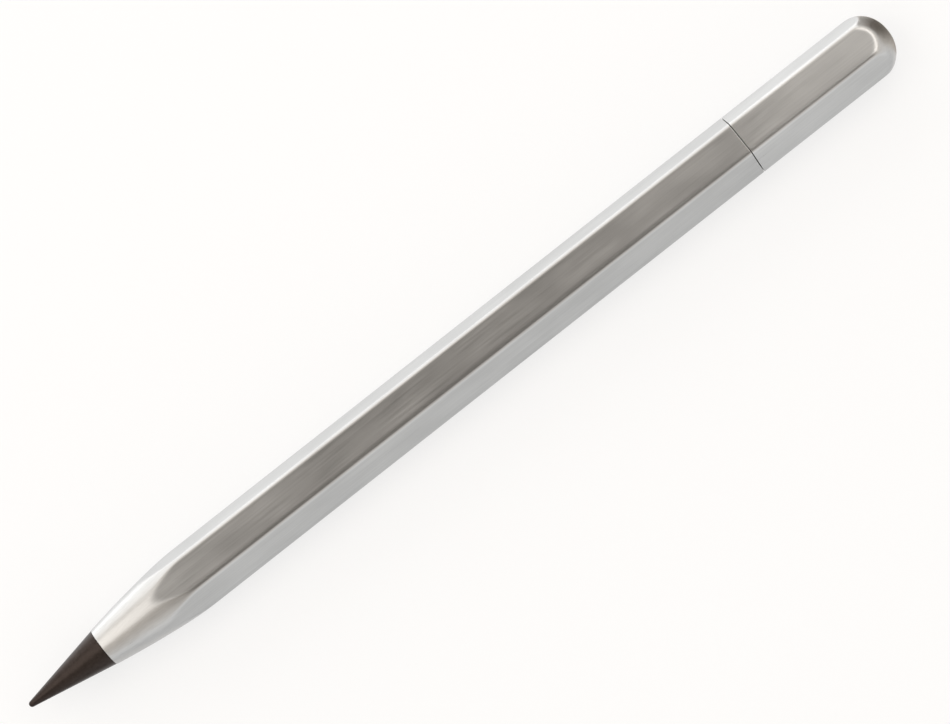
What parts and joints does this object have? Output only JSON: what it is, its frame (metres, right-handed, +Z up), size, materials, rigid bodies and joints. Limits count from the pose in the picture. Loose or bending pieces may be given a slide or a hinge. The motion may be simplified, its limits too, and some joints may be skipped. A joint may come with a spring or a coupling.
{
  "type": "inkless metal pencil",
  "caption": "Hexagonal satin aluminium pencil with a screw-in graphite alloy writing cone, a turned nose and a domed pull-off cap that covers an eraser.",
  "frame": {"origin": "middle of the pencil's length, on the surface that its bottom facet rests on", "axes": "+X along the pencil from the writing point to the domed cap, +Z up from the facet that it lies on"},
  "size_m": [0.15, 0.0096, 0.0086],
  "materials": {
    "barrel_aluminium": "satin, fine lengthwise brushing",
    "graphite_alloy": "satin turned graphite alloy",
    "stud_brass": "turned",
    "connector_plastic": "moulded",
    "ring_rubber": "matt",
    "ferrule_aluminium": "drawn, bright",
    "eraser_rubber": "matt white",
    "cap_aluminium": "satin, fine lengthwise brushing"
  },
  "bodies": {
    "pencil": {"barrel": "barrel_aluminium", "rear_connector": "connector_plastic", "cap_grip_ring": "ring_rubber", "eraser_ferrule": "ferrule_aluminium", "eraser": "eraser_rubber"},
    "tip": {"writing_cone": "graphite_alloy", "tip_stud": "stud_brass"},
    "cap": {"cap": "cap_aluminium"}
  },
  "joints": [
    {"name": "cap_pull", "type": "slide", "parent": "pencil", "child": "cap", "axis": [1, 0, 0], "range_m": [0, 0.034]},
    {"name": "tip_unscrew", "type": "slide", "parent": "pencil", "child": "tip", "axis": [-1, 0, 0], "range_m": [0, 0.012]}
  ]
}
